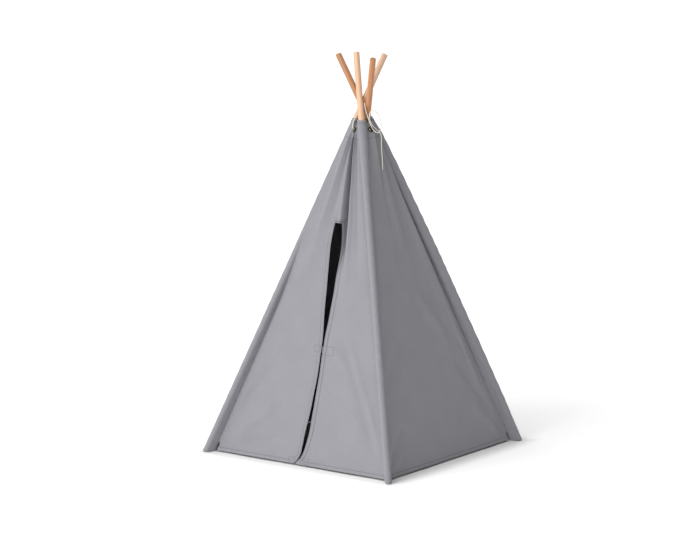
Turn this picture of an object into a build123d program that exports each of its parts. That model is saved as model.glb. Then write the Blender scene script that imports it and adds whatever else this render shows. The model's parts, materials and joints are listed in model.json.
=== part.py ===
from build123d import *
import math
import os

# A small four-pole tipi tent: loose wooden dowels stand in sewn pockets at the
# corners of a canvas cover, cross near the top, and are tied there with a cord.
# Millimetres, +Z up, door towards -Y, origin on the floor below the crossing.

# ---- driving dimensions -------------------------------------------------------
FOOT_RADIUS = 400.0         # pole axis to the tent's centre line, at the floor
CROSSING_HEIGHT = 872.0     # height at which the poles pass each other
POLE_DIAMETER = 15.0
POLE_LENGTH = 1091.0
POLE_FOOT_HEIGHT = 5.0      # centre of a pole's lower end
POLE_CHAMFER = 0.6
POCKET_FLOOR_GAP = 0.3      # between a pole's end and the floor of its pocket
BORE_CLEARANCE = 0.4        # radial room for a pole in its pocket
POCKET_WALL = 0.9
CLOTH = 1.0                 # canvas, thickened a little so that it is a sound solid
LAYER_GAP = 0.1             # between two layers of cloth sewn together
HEM_HEIGHT = 4.0            # lower edge of the cover above the floor
NECK_AT_FLOOR = 22.0        # pole axis to the corner seam, at the floor
NECK_AT_TOP = 8.0
SEAM_CLEARANCE = 2.5        # cover edge beside a corner seam, at the floor
TOP_STANDOFF = 11.5         # cover edge beside a pole axis, at the cover's top

# Corners in order round the tent: direction from the centre, sideways offset of
# the pole at the crossing (so that each pole passes beside the others), and the
# height at which its pocket ends.
CORNERS = {
    "near": {"angle": -45.0, "offset": -8.0, "pocket_top": 838.0},
    "right": {"angle": 45.0, "offset": 39.6, "pocket_top": 838.0},
    "far": {"angle": 135.0, "offset": -13.0, "pocket_top": 795.0},
    "left": {"angle": 225.0, "offset": -15.2, "pocket_top": 838.0},
}

# Cover panels: the two corners that each one joins, its top edge, how far it
# stands outside the line between its two poles there, and its eyelet's height
# and place across the panel.
PANELS = {
    "door": {"corners": ("left", "near"), "top": 830.0, "bulge": 7.0, "eyelet": 812.0, "across": 0.5},
    "right_side": {"corners": ("near", "right"), "top": 830.0, "bulge": 12.0, "eyelet": 812.0, "across": 0.22},
    "back": {"corners": ("right", "far"), "top": 760.0, "bulge": 7.0, "eyelet": 742.0, "across": 0.5},
    "left_side": {"corners": ("far", "left"), "top": 830.0, "bulge": 7.0, "eyelet": 812.0, "across": 0.5},
}

# Eyelets in the top edge.
EYELET_HOLE = 8.0
EYELET_FLANGE = 16.0
EYELET_WALL = 0.6
FLANGE_THICKNESS = 1.0
FLANGE_CHAMFER = 0.4
BARREL_END = 0.4            # how far the eyelet's barrel stands out behind its washer
WASHER_DIAMETER = 15.0
WASHER_FIT = 0.05           # radial room round the barrel
SEAT_FIT = 0.2              # radial room round a flange or washer in the cloth
SEAT_DEPTH = 10.0           # how far the tools that seat an eyelet reach to either side
FACING_DEPTH = 42.0         # reinforcing band inside the top edge
FACING_THICKNESS = 0.8

# Door slit: height, middle and width of the opening between the two flaps.
SLIT = [
    (586.0, -10.0, 17.0),
    (545.0, -8.0, 26.0),
    (435.0, -1.0, 16.0),
    (286.0, 5.0, 3.5),
    (160.0, 10.0, 5.5),
    (85.0, 8.0, 11.0),
    (30.0, 0.0, 7.0),
    (-5.0, -12.0, 2.5),
]
SLIT_TOP = SLIT[0][0]
FOLD_FOOT = 200.0           # where each flap's fold line meets the hem
FOLD_GAP = 0.6              # between a flap and the fixed cloth
FOLD_AXIS_STANDOFF = 1.5    # fold axis outside the middle of the cloth
BINDING_WIDTH = 5.0
BINDING_THICKNESS = 0.6
BINDING_END = 8.0           # the bindings stop this far below the slit's top

# Hook and loop closures across the slit: height, the ends of the sewn patch on
# the left flap and on the right flap, and the patch height.
CLOSURES = {
    "middle": {"height": 283.0, "left": (-17.0, 0.0), "right": (11.0, 44.0), "tall": 18.0},
    "lower": {"height": 13.5, "left": (-37.0, -18.0), "right": (-3.0, 24.0), "tall": 13.0},
}
HOOK_REACH = 18.0           # how far the hook tab goes behind the right flap
TAPE = 0.8                  # thickness of the hook tape, the loop tape and the tab's cloth
TAPE_GAP = 0.3              # between hooks and loops
TAPE_INSET = 1.0            # the hook tape is this much narrower than its tab

# Tie cord: from its free end, round the open bow loop, between the poles at the
# crossing, behind the near pole and in through the door eyelet.
CORD_DIAMETER = 2.4
CORD_ROUTE = [
    (55.0, 5.7, 714.5),
    (51.0, 10.2, 738.5),
    (46.0, 13.7, 762.5),
    (41.8, 18.3, 784.7),
    (40.2, 20.2, 801.4),
    (32.6, 7.4, 814.2),
    (25.1, -2.4, 827.4),
    (21.1, -4.1, 843.2),
    (20.3, -2.6, 853.5),
    (23.2, 2.6, 861.8),
    (29.0, 9.6, 860.6),
    (35.2, 14.6, 850.5),
    (40.2, 18.3, 837.9),
    (41.7, 18.3, 818.0),
    (40.6, 10.4, 802.4),
    (33.8, -3.4, 811.2),
    (28.2, -7.7, 825.5),
    (20.5, -7.3, 841.0),
    (10.1, -2.3, 855.2),
    (7.8, -3.0, 865.0),
    (6.2, -2.4, 871.5),
    (4.4, -1.0, 876.3),
    (2.0, 1.2, 878.3),
    (-0.3, 3.4, 876.3),
    (-1.6, 4.6, 870.5),
    (-3.0, 3.6, 863.5),
    (-6.6, -1.0, 857.0),
    (-10.3, -8.3, 851.0),
    (-12.5, -16.0, 844.0),
    (-13.0, -22.5, 836.0),
    (-12.5, -30.5, 819.0),
    (-10.5, -23.0, 812.0),
    (-7.5, -12.0, 808.8),
]

os.makedirs("parts", exist_ok=True)
PARTS = {}


def keep(name, shape):
    """Remember a finished piece under its node name."""
    PARTS[name] = shape


# ---- geometry of the frame ----------------------------------------------------
def outward(corner):
    """Unit vector from the centre line to a corner, and the one to its side."""
    angle = math.radians(CORNERS[corner]["angle"])
    out = Vector(math.cos(angle), math.sin(angle), 0)
    side = Vector(-math.sin(angle), math.cos(angle), 0)
    return out, side


def pole_centre(corner, height):
    """Point on a pole's axis at a height."""
    out, side = outward(corner)
    share = height / CROSSING_HEIGHT
    offset = CORNERS[corner]["offset"]
    return out * (FOOT_RADIUS * (1 - share)) + side * (offset * share) + Vector(0, 0, height)


def pole_direction(corner):
    return (pole_centre(corner, CROSSING_HEIGHT) - pole_centre(corner, 0)).normalized()


def panel_ends(panel, height):
    """Both ends of a panel's horizontal section, and its outward normal."""
    first, last = PANELS[panel]["corners"]
    top = PANELS[panel]["top"]

    def section(level, neck, beside, bulge):
        start = pole_centre(first, level)
        finish = pole_centre(last, level)
        along = (finish - start).normalized()
        normal = along.cross(Vector(0, 0, 1))
        start = start - outward(first)[0] * neck + along * beside + normal * bulge
        finish = finish - outward(last)[0] * neck - along * beside + normal * bulge
        return start, finish

    low = section(HEM_HEIGHT, NECK_AT_FLOOR, SEAM_CLEARANCE, 0)
    high = section(top, 0, TOP_STANDOFF, PANELS[panel]["bulge"])
    share = (height - HEM_HEIGHT) / (top - HEM_HEIGHT)
    start = low[0] + (high[0] - low[0]) * share
    finish = low[1] + (high[1] - low[1]) * share
    normal = (finish - start).cross(Vector(0, 0, 1)).normalized()
    return start, finish, normal


def cloth_layer(panel, offset, thickness):
    """A layer of cloth along the whole of a panel."""
    wires = []
    for height in (HEM_HEIGHT, PANELS[panel]["top"]):
        start, finish, normal = panel_ends(panel, height)
        outer = normal * (offset + thickness / 2)
        inner = normal * (offset - thickness / 2)
        corners = [start + outer, finish + outer, finish + inner, start + inner]
        wires.append(Wire.make_polygon(corners, close=True))
    return Solid.make_loft(wires, ruled=True)


def panel_frame(panel, height, along):
    """Plane on a panel at a height: z outward, x along the panel.

    along is the position on the section, as a share from its start."""
    start, finish, _ = panel_ends(panel, height)
    origin = start + (finish - start) * along
    below_start, below_finish, _ = panel_ends(panel, height - 10)
    below = below_start + (below_finish - below_start) * along
    x_dir = (finish - start).normalized()
    return Plane(origin=origin, x_dir=x_dir, z_dir=x_dir.cross(origin - below))


def level_slab(low, high):
    """Everything between two heights."""
    return Pos(0, 0, (low + high) / 2) * Box(4 * FOOT_RADIUS, 4 * FOOT_RADIUS, high - low)


# ---- poles and pockets --------------------------------------------------------
def make_pole(corner):
    base = Plane(origin=pole_centre(corner, POLE_FOOT_HEIGHT), z_dir=pole_direction(corner))
    pole = base * Pos(0, 0, POLE_LENGTH / 2) * Cylinder(POLE_DIAMETER / 2, POLE_LENGTH)
    return chamfer(pole.edges().filter_by(GeomType.CIRCLE), POLE_CHAMFER)


def make_pocket(corner):
    """Closed-bottomed cloth tube round a pole, with the flat neck of its seam."""
    top = CORNERS[corner]["pocket_top"]
    bore = POLE_DIAMETER / 2 + BORE_CLEARANCE
    out, side = outward(corner)
    length = 2 * POLE_LENGTH
    axis = Plane(origin=pole_centre(corner, 0), z_dir=pole_direction(corner))
    tube = axis * Cylinder(bore + POCKET_WALL, length)
    neck_wires = []
    for height, reach in ((-1.0, NECK_AT_FLOOR - 1), (top + 1.0, NECK_AT_TOP)):
        centre = pole_centre(corner, height)
        half = side * CLOTH
        points = [centre + half, centre - half, centre - half - out * reach, centre + half - out * reach]
        neck_wires.append(Wire.make_polygon(points, close=True))
    neck = Solid.make_loft(neck_wires, ruled=True)
    floor_point = pole_centre(corner, POLE_FOOT_HEIGHT) - pole_direction(corner) * POCKET_FLOOR_GAP
    floor = Plane(origin=floor_point, z_dir=pole_direction(corner))
    hole = floor * Pos(0, 0, length / 2) * Cylinder(bore, length)
    return (tube + neck) & level_slab(0.0, top) - hole


for corner in CORNERS:
    keep(f"pole_{corner}", make_pole(corner))
    keep(f"pole_pocket_{corner}", make_pocket(corner))


# ---- cover panels, facings and eyelets ----------------------------------------
def eyelet_parts(panel):
    """Eyelet with its barrel, washer, and the tools that seat them in the cloth."""
    plane = panel_frame(panel, PANELS[panel]["eyelet"], PANELS[panel]["across"])
    stack_back = -(CLOTH / 2 + LAYER_GAP + FACING_THICKNESS)
    flange_z = CLOTH / 2 + FLANGE_THICKNESS / 2
    washer_z = stack_back - FLANGE_THICKNESS / 2
    hole = EYELET_HOLE / 2
    barrel_low = stack_back - FLANGE_THICKNESS - BARREL_END
    barrel_high = CLOTH / 2 + FLANGE_THICKNESS
    flange = Pos(0, 0, flange_z) * Cylinder(EYELET_FLANGE / 2, FLANGE_THICKNESS)
    flange = chamfer(flange.edges().group_by(Axis.Z)[-1], FLANGE_CHAMFER)
    barrel_length = barrel_high - barrel_low
    barrel = Pos(0, 0, barrel_low + barrel_length / 2) * Cylinder(hole + EYELET_WALL, barrel_length)
    eyelet = flange + barrel - Cylinder(hole, 2 * SEAT_DEPTH)
    barrel_hole = Cylinder(hole + EYELET_WALL + WASHER_FIT, 2 * SEAT_DEPTH)
    washer = Pos(0, 0, washer_z) * Cylinder(WASHER_DIAMETER / 2, FLANGE_THICKNESS) - barrel_hole
    outer_seat = Cylinder(EYELET_FLANGE / 2 + SEAT_FIT, SEAT_DEPTH)
    inner_seat = Cylinder(WASHER_DIAMETER / 2 + SEAT_FIT, SEAT_DEPTH)
    seat = Pos(0, 0, CLOTH / 2 + SEAT_DEPTH / 2) * outer_seat + barrel_hole
    seat += Pos(0, 0, stack_back - SEAT_DEPTH / 2) * inner_seat
    return plane * eyelet, plane * washer, plane * seat


def make_panel(panel):
    cover = cloth_layer(panel, 0.0, CLOTH)
    facing_offset = -(CLOTH / 2 + LAYER_GAP + FACING_THICKNESS / 2)
    top = PANELS[panel]["top"]
    facing = cloth_layer(panel, facing_offset, FACING_THICKNESS) & level_slab(top - FACING_DEPTH, top - 1)
    eyelet, washer, seat = eyelet_parts(panel)
    return cover - seat, facing - seat, eyelet, washer


def slit_edge(side, shift=0.0):
    """Edge of the slit in the X-Z plane; side is -1 for the left flap."""
    points = []
    for height, middle, width in SLIT:
        points.append(Vector(middle + side * (width / 2 + shift), 0, height))
    return Edge.make_spline(points)


def prism(edges):
    """Solid through the door side only, from an outline in the X-Z plane."""
    face = Face(Wire(edges))
    return Solid.extrude(face, Vector(0, -2 * FOOT_RADIUS, 0))


def fold_foot(side):
    return Vector(side * FOLD_FOOT, 0, SLIT[-1][0])


def flap_outline(side):
    """Outline of a flap: slit edge, hem line and fold line."""
    edge = slit_edge(side)
    foot = fold_foot(side)
    return [edge, Edge.make_line(edge @ 1, foot), Edge.make_line(foot, edge @ 0)]


def door_opening():
    """Everything that is cut out of the door panel for the slit and both flaps."""
    _, middle, width = SLIT[0]
    left = Vector(middle - width / 2 - FOLD_GAP, 0, SLIT_TOP)
    right = Vector(middle + width / 2 + FOLD_GAP, 0, SLIT_TOP)
    left_foot = fold_foot(-1) - Vector(FOLD_GAP, 0, 0)
    right_foot = fold_foot(1) + Vector(FOLD_GAP, 0, 0)
    return prism(Wire.make_polygon([left, right, right_foot, left_foot], close=True).edges())


def binding_outline(side):
    inner = slit_edge(side)
    outer = slit_edge(side, BINDING_WIDTH)
    return [inner, Edge.make_line(inner @ 1, outer @ 1), outer, Edge.make_line(outer @ 0, inner @ 0)]


door_sheet = cloth_layer("door", 0.0, CLOTH)
binding_offset = CLOTH / 2 + LAYER_GAP + BINDING_THICKNESS / 2
binding_sheet = cloth_layer("door", binding_offset, BINDING_THICKNESS)
binding_sheet = binding_sheet & level_slab(0.0, SLIT_TOP - BINDING_END)

for panel in PANELS:
    cover, facing, eyelet, washer = make_panel(panel)
    if panel == "door":
        cover = cover - door_opening()
    keep(f"cover_{panel}", cover)
    keep(f"top_facing_{panel}", facing)
    keep(f"eyelet_{panel}", eyelet)
    keep(f"eyelet_washer_{panel}", washer)

for name, side in (("left", -1), ("right", 1)):
    keep(f"door_flap_{name}", door_sheet & prism(flap_outline(side)))
    strip = binding_sheet & prism(binding_outline(side))
    keep(f"slit_binding_{name}", strip & prism(flap_outline(side)))


# ---- closures across the slit -------------------------------------------------
def door_share(x, height):
    """Share along the door panel's section at which it reaches an x."""
    start, finish, _ = panel_ends("door", height)
    return (x - start.X) / (finish.X - start.X)


def slab(plane, x_range, z_range, tall):
    """Flat rectangular piece on a plane, between two x and two z values."""
    centre = Pos(sum(x_range) / 2, 0, sum(z_range) / 2)
    return plane * centre * Box(x_range[1] - x_range[0], tall, z_range[1] - z_range[0])


for name, closure in CLOSURES.items():
    height = closure["height"]
    tall = closure["tall"]
    left_start, left_end = closure["left"]
    right_start, right_end = closure["right"]
    plane = panel_frame("door", height, door_share(0.0, height))
    cloth_back = -(CLOTH / 2 + LAYER_GAP)
    loop_back = cloth_back - TAPE
    hook_front = loop_back - TAPE_GAP
    hook_back = hook_front - TAPE
    tab_front = hook_back - LAYER_GAP
    tab_back = tab_front - TAPE
    tab_end = right_start + HOOK_REACH
    sewn = slab(plane, (left_start, left_end), (tab_back, cloth_back), tall)
    blade = slab(plane, (left_start, tab_end), (tab_back, tab_front), tall)
    keep(f"{name}_closure_tab", sewn + blade)
    hook_range = (right_start + TAPE_INSET / 2, tab_end - TAPE_INSET / 2)
    keep(f"{name}_hook_patch", slab(plane, hook_range, (hook_back, hook_front), tall - 2 * TAPE_INSET))
    keep(f"{name}_loop_patch", slab(plane, (right_start, right_end), (loop_back, cloth_back), tall))


# ---- tie cord -----------------------------------------------------------------
def make_cord(route, diameter):
    """Tube of straight runs joined by tangent arcs, as large as the runs allow."""
    points = [Vector(*point) for point in route]
    radii = []
    for before, point, after in zip(points, points[1:], points[2:]):
        turn = math.radians((point - before).get_angle(after - point))
        run = min((point - before).length, (after - point).length)
        radii.append(0.45 * run / math.tan(turn / 2))
    print("smallest cord radius", round(min(radii), 1))
    path = FilletPolyline(*points, radius=radii)
    section = Plane(origin=path @ 0, z_dir=path % 0) * Circle(diameter / 2)
    tube = sweep(section, path=path)
    print("cord length", path.length, "volume", tube.volume, "of", section.area * path.length)
    return tube


keep("tie_cord", make_cord(CORD_ROUTE, CORD_DIAMETER))

for name, shape in PARTS.items():
    export_step(shape, f"parts/{name}.step")

# Fold axes of the door flaps, for reference in metres.
for name, side in (("left", -1), ("right", 1)):
    _, middle, width = SLIT[0]
    ends = []
    for x, height in ((side * FOLD_FOOT, HEM_HEIGHT), (middle + side * width / 2, SLIT_TOP)):
        start, finish, normal = panel_ends("door", height)
        point = start + (finish - start) * door_share(x, height) + normal * FOLD_AXIS_STANDOFF
        ends.append(point)
    axis = (ends[1] - ends[0]).normalized()
    print(f"fold {name}: point {tuple(ends[0] / 1000)} axis {tuple(axis)}")
for corner in CORNERS:
    foot = pole_centre(corner, POLE_FOOT_HEIGHT) / 1000
    print(f"pole {corner}: axis {tuple(pole_direction(corner))} foot {tuple(foot)}")
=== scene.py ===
import json
import math

import bpy
import numpy as np
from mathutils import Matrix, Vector


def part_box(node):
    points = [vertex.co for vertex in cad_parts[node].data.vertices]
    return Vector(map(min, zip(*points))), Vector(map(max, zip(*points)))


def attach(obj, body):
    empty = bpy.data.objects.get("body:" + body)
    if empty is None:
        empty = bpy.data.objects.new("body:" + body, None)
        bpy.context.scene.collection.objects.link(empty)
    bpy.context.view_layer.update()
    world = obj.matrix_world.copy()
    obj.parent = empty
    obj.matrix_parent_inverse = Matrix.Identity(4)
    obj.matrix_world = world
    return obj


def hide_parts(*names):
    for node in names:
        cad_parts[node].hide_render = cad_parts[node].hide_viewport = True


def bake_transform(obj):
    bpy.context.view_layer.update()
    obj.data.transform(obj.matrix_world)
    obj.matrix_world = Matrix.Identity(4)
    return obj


# A small tipi play tent: the canvas cover, its sewn details and its tie cord are
# built here around the CAD frame; the four dowels keep their CAD shape.
# Metres, +Z up, the door faces -Y.

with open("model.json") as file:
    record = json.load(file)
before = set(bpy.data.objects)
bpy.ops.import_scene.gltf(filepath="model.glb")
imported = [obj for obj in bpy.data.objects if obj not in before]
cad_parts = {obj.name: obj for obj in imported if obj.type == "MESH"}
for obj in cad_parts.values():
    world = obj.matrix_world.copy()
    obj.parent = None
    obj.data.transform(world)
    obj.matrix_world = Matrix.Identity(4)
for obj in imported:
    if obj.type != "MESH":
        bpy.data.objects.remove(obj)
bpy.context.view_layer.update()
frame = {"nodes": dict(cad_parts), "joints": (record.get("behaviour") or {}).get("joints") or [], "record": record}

# ---- sizes ----
CLOTH = 0.0010              # thickness of the canvas
HEM = 0.0095                # height of the bottom and top hems
HEM_LIFT = 0.0011           # how far a hem's second layer stands out
HEM_EDGE = 0.0008           # width of the step up to that layer
SLIT_HEM = 0.0110           # width of the hems along the door slit
SLIT_PAST = 0.004           # the hem's layer also covers this much of the cloth over the slit
STITCH_PITCH = 0.0036
STITCH_LENGTH = 0.0027
TACK_PITCH = 0.0015         # the bar tack's stitches are close together
TACK_LENGTH = 0.0018
HEM_STITCH = 0.0016         # from the inner edge of a hem to its row of stitches
THREAD = 0.00048            # half the width of a stitch
SLEEVE_WALL = 0.0009
SLEEVE_ROOM = 0.0004        # between a pole and its sleeve
SEAM_HALF = 0.0011          # half the thickness of the corner seams
SEAM_REACH_LOW = 0.0205     # pole axis to the corner seam at the floor
SEAM_REACH_TOP = 0.0065     # and from this height up
SEAM_TOP = 0.83
TURN_IN = 0.013             # strip along a panel's ends that turns in to its seam
PUCKER = 0.0006             # small puckers along the corner seams
PUCKER_PITCH = 0.0135
PUCKER_WIDTH = 0.012
FACING = 0.0008             # thickness of the cloth behind the top edges
FACING_IN = CLOTH + 0.0001  # from the middle of the canvas to the middle of the facing
FACING_DEPTH = 0.042
DIFFERENCE = 0.0004         # step of the surface normals' differences

# The hems nearer the floor, so that neighbouring hems meet.
HEM_DROP = {"door": 0.0, "right_side": 0.0, "back": 0.0032, "left_side": 0.0032}

# The door's cloth is stiff and flat round its eyelet: share, half width and half height.
EYELET_LEVEL = 0.812
CALM = 0.9
CALM_WIDTH = 0.013
CALM_HEIGHT = 0.022

# Ends that lie over their sleeve in the upper part.
FLUSH_ENDS = (("door", "left"),)
FLUSH_FROM = 0.36
FLUSH_RISE = 0.22
FLUSH_TURN = 0.055          # width of the strip that rises onto the sleeve

# Ends that hang free of their sleeve at the floor.
FREE_ENDS = (("door", "left"), ("right_side", "right"))
FREE_CORNER = 0.020
FREE_RISE = 0.008
FREE_GAP = 0.0035

# Panels, each from one corner to the next, anticlockwise seen from above.
PANELS = {
    "door": ("left", "near"),
    "right_side": ("near", "right"),
    "back": ("right", "far"),
    "left_side": ("far", "left"),
}
CORNERS = ("near", "right", "far", "left")
SIDES = ((-1, "left"), (1, "right"))    # of the door slit

# Door slit: height, middle and width of the opening.
SLIT = np.array([
    (0.002, -0.0190, 0.0030),
    (0.012, -0.0100, 0.0045),
    (0.027, -0.0010, 0.0065),
    (0.050, 0.0035, 0.0100),
    (0.070, 0.0055, 0.0120),
    (0.085, 0.0070, 0.0125),
    (0.120, 0.0085, 0.0090),
    (0.167, 0.0090, 0.0070),
    (0.218, 0.0095, 0.0055),
    (0.267, 0.0080, 0.0050),
    (0.286, 0.0080, 0.0058),
    (0.319, 0.0062, 0.0078),
    (0.354, 0.0046, 0.0145),
    (0.390, 0.0020, 0.0195),
    (0.425, 0.0006, 0.0230),
    (0.460, -0.0022, 0.0250),
    (0.504, -0.0055, 0.0270),
    (0.530, -0.0075, 0.0270),
    (0.564, -0.0095, 0.0240),
    (0.586, -0.0100, 0.0200),
])
SLIT_TOP = SLIT[-1, 0]
SLIT_TOP_LEFT = SLIT[-1, 1] - SLIT[-1, 2] / 2
SLIT_TOP_RIGHT = SLIT[-1, 1] + SLIT[-1, 2] / 2


# ---- the frame's lines ----
def unit(vector):
    return vector / np.linalg.norm(vector, axis=-1, keepdims=True)


def node_points(node):
    return np.array([vertex.co for vertex in frame["nodes"][node].data.vertices])


POLE = {}
for joint in frame["joints"]:
    if joint["type"] == "slide":
        low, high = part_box(frame["record"]["behaviour"]["bodies"][joint["child"]][0])
        POLE[joint["child"].split("_")[0]] = (np.array((low + high) / 2), np.array(joint["axis"]))
POLE_RADIUS = 0.0075


def pole_point(corner, z):
    """Points on a pole's axis at some heights."""
    centre, axis = POLE[corner]
    return centre + axis * ((np.asarray(z) - centre[2]) / axis[2])[..., None]


def outward(corner):
    foot = pole_point(corner, 0.0)
    return unit(np.array([foot[0], foot[1], 0.0]))


def cad_section(panel, level):
    """Both ends of a CAD cover's middle surface at its lowest or highest level."""
    first, last = PANELS[panel]
    along = unit(pole_point(last, level) - pole_point(first, level))
    points = node_points("cover_" + panel)
    points = points[abs(points[:, 2] - level) < 2e-4]
    reach = points @ along
    start = points[reach < reach.min() + 8e-4].mean(axis=0)
    end = points[reach > reach.max() - 8e-4].mean(axis=0)
    return start, end


BOTTOM = {}
TOP = {}
SECTION = {}
OUT = {}
for panel in PANELS:
    low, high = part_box("cover_" + panel)
    BOTTOM[panel] = low.z
    TOP[panel] = high.z
    SECTION[panel] = (*cad_section(panel, low.z), *cad_section(panel, high.z))
    low_start, low_end, high_start, high_end = SECTION[panel]
    up = (high_start + high_end) / 2 - (low_start + low_end) / 2
    OUT[panel] = unit(np.cross(low_end - low_start, up))


# ---- shape of the cloth ----
def smooth(value):
    """0 below 0, 1 above 1, and a smooth step between them."""
    value = np.clip(value, 0.0, 1.0)
    return value * value * (3 - 2 * value)


def section(panel, z):
    """Ends of a panel's straight level sections at some heights."""
    low_start, low_end, high_start, high_end = SECTION[panel]
    rise = ((z - BOTTOM[panel]) / (TOP[panel] - BOTTOM[panel]))[..., None]
    return low_start + (high_start - low_start) * rise, low_end + (high_end - low_end) * rise


def seam_reach(z):
    return SEAM_REACH_LOW + (SEAM_REACH_TOP - SEAM_REACH_LOW) * np.clip(z / SEAM_TOP, 0, 1)


def seam(corner, z):
    """The corner seam, on the inner side of the sleeve."""
    return pole_point(corner, z) - outward(corner) * seam_reach(z)[..., None]


def gather(share, z, place, half, depth, low, full):
    """Fold along a line from the crown, fading out downwards from height full to low."""
    return depth * np.exp(-(((share - place) / half) ** 2)) * smooth((z - low) / (full - low))


def crease(across, z, start, end, half, depth):
    """Soft fold along a straight line in the panel, fading out at both ends."""
    line = np.array(end) - np.array(start)
    length = np.hypot(*line)
    line = line / length
    along = (across - start[0]) * line[0] + (z - start[1]) * line[1]
    aside = (across - start[0]) * line[1] - (z - start[1]) * line[0]
    fade = smooth(along / (0.3 * length)) * smooth((length - along) / (0.3 * length))
    return depth * np.exp(-((aside / half) ** 2)) * fade


# Folds from the crown: share across the panel, half width as a share, height of the
# fold (below zero it is a valley), and the heights where it ends and is full.
GATHERS = {
    "door": [
        (0.605, 0.042, -0.0360, 0.42, 0.62),
        (0.520, 0.045, 0.0085, 0.50, 0.66),
        (0.690, 0.045, 0.0060, 0.36, 0.60),
        (0.33, 0.050, -0.0050, 0.45, 0.70),
        (0.19, 0.050, 0.0050, 0.40, 0.70),
        (0.84, 0.050, -0.0040, 0.40, 0.62),
    ],
    "right_side": [
        (0.55, 0.240, 0.0040, 0.48, 0.80),
        (0.07, 0.050, -0.0070, 0.55, 0.76),
        (0.35, 0.160, 0.0085, 0.62, 0.80),
        (0.44, 0.050, -0.0040, 0.35, 0.70),
        (0.56, 0.060, 0.0030, 0.40, 0.70),
        (0.70, 0.060, -0.0050, 0.30, 0.62),
        (0.88, 0.050, 0.0050, 0.16, 0.50),
    ],
    "back": [
        (0.18, 0.060, 0.0050, 0.40, 0.64),
        (0.36, 0.060, -0.0075, 0.35, 0.62),
        (0.55, 0.070, 0.0065, 0.40, 0.66),
        (0.76, 0.060, -0.0065, 0.35, 0.62),
    ],
    "left_side": [
        (0.20, 0.060, -0.0060, 0.40, 0.66),
        (0.38, 0.060, 0.0065, 0.38, 0.68),
        (0.58, 0.060, -0.0085, 0.35, 0.66),
        (0.80, 0.060, 0.0050, 0.42, 0.68),
    ],
}

# Tension folds: ends as (distance right of the panel's middle, height), half width, height.
CREASES = {
    "door": [
        ((0.060, 0.330), (0.235, 0.030), 0.012, -0.0045),
        ((0.075, 0.330), (0.250, 0.045), 0.010, 0.0034),
        ((-0.225, 0.035), (-0.085, 0.150), 0.016, 0.0048),
        ((-0.230, 0.075), (-0.110, 0.260), 0.016, -0.0046),
        ((-0.205, 0.025), (-0.060, 0.060), 0.012, -0.0030),
        ((0.020, 0.300), (0.130, 0.230), 0.014, 0.0026),
        ((-0.120, 0.420), (-0.030, 0.560), 0.018, 0.0030),
        ((0.030, 0.020), (0.170, 0.060), 0.013, 0.0026),
    ],
    "right_side": [
        ((-0.245, 0.020), (-0.150, 0.120), 0.012, -0.0055),
        ((-0.235, 0.020), (-0.110, 0.070), 0.011, 0.0040),
        ((-0.200, 0.200), (-0.060, 0.330), 0.020, -0.0034),
        ((0.235, 0.020), (0.140, 0.120), 0.012, 0.0045),
        ((0.240, 0.060), (0.100, 0.260), 0.016, -0.0040),
        ((0.020, 0.420), (0.120, 0.250), 0.020, 0.0036),
        ((0.035, 0.740), (0.215, 0.080), 0.009, 0.0050),
        ((0.052, 0.730), (0.232, 0.080), 0.010, -0.0050),
    ],
    "back": [
        ((-0.240, 0.020), (-0.120, 0.130), 0.013, -0.0044),
        ((0.240, 0.020), (0.110, 0.150), 0.014, 0.0044),
        ((0.200, 0.060), (0.080, 0.300), 0.018, -0.0038),
        ((-0.120, 0.380), (0.020, 0.200), 0.022, 0.0034),
    ],
    "left_side": [
        ((-0.240, 0.020), (-0.120, 0.120), 0.013, 0.0044),
        ((-0.210, 0.050), (-0.090, 0.280), 0.018, -0.0038),
        ((0.240, 0.020), (0.130, 0.110), 0.012, -0.0046),
        ((0.110, 0.360), (0.000, 0.180), 0.020, 0.0034),
    ],
}


def waves(panel, across, z):
    """Slight unevenness of hanging canvas."""
    phase = 1.7 * list(PANELS).index(panel)
    soft = np.sin(34 * across + 11 * z + phase) * np.sin(19 * z - 8 * across + 2 * phase)
    finer = np.sin(71 * across - 23 * z + 3 * phase) * np.sin(47 * z + 17 * across + phase)
    return 0.0011 * soft + 0.0004 * finer


def slit_curve(z, column):
    """Smooth curve through the slit's middles (column 1) or widths (column 2)."""
    heights = SLIT[:, 0]
    values = SLIT[:, column]
    slopes = np.gradient(values, heights)
    z = np.clip(z, heights[0], heights[-1])
    i = np.clip(np.searchsorted(heights, z) - 1, 0, len(heights) - 2)
    step = heights[i + 1] - heights[i]
    t = (z - heights[i]) / step
    return (
        (2 * t**3 - 3 * t**2 + 1) * values[i]
        + (t**3 - 2 * t**2 + t) * step * slopes[i]
        + (3 * t**2 - 2 * t**3) * values[i + 1]
        + (t**3 - t**2) * step * slopes[i + 1]
    )


def door_share(x, z):
    """Share across the door panel at which it reaches an x."""
    start, end = section("door", z)
    return (x - start[..., 0]) / (end[..., 0] - start[..., 0])


def slit_line(side, z):
    """X of the slit's edge on one side, and above the slit of the line it runs on in."""
    edge = slit_curve(z, 1) + side * slit_curve(z, 2) / 2
    above = np.clip((z - SLIT_TOP) / (TOP["door"] - SLIT_TOP), 0, 1)
    start, end = section("door", z)
    middle = (start[..., 0] + end[..., 0]) / 2
    top_x = middle + (0.002 if side > 0 else -0.002)
    return np.where(z > SLIT_TOP, edge + (top_x - edge) * smooth(above), edge)


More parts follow.
